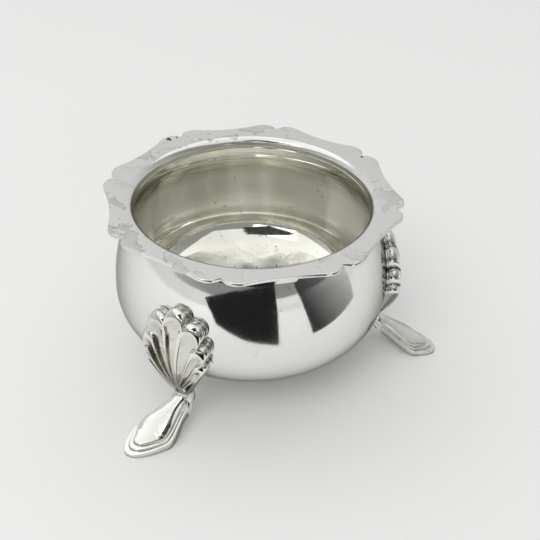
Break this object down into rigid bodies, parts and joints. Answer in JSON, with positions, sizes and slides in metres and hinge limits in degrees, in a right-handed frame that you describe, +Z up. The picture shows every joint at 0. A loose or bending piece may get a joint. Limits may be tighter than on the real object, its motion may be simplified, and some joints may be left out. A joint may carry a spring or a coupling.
{
  "type": "open salt cellar",
  "caption": "Open round-bellied silver salt with a notched, lobed rim border, standing on cast feet with a fluted shell knee and a stepped pad",
  "frame": {"origin": "On the bowl's axis, at table height, under the middle of the bowl", "axes": "+Z is up along the bowl's axis; +X points along the ankle of one foot, foot_right; +Y completes the right-handed frame"},
  "size_m": [0.0736, 0.0752, 0.04],
  "materials": {
    "silver_sheet": "polished sterling silver, lightly stained and scratched",
    "silver_cast": "polished cast sterling silver",
    "silver_solder": "duller silver solder"
  },
  "bodies": {
    "root": {"bowl": "silver_sheet", "rim_border": "silver_sheet", "foot_right": "silver_cast", "foot_rear": "silver_cast", "foot_front": "silver_cast", "rim_solder_seam": "silver_solder", "foot_right_solder": "silver_solder", "foot_rear_solder": "silver_solder", "foot_front_solder": "silver_solder"}
  },
  "joints": []
}
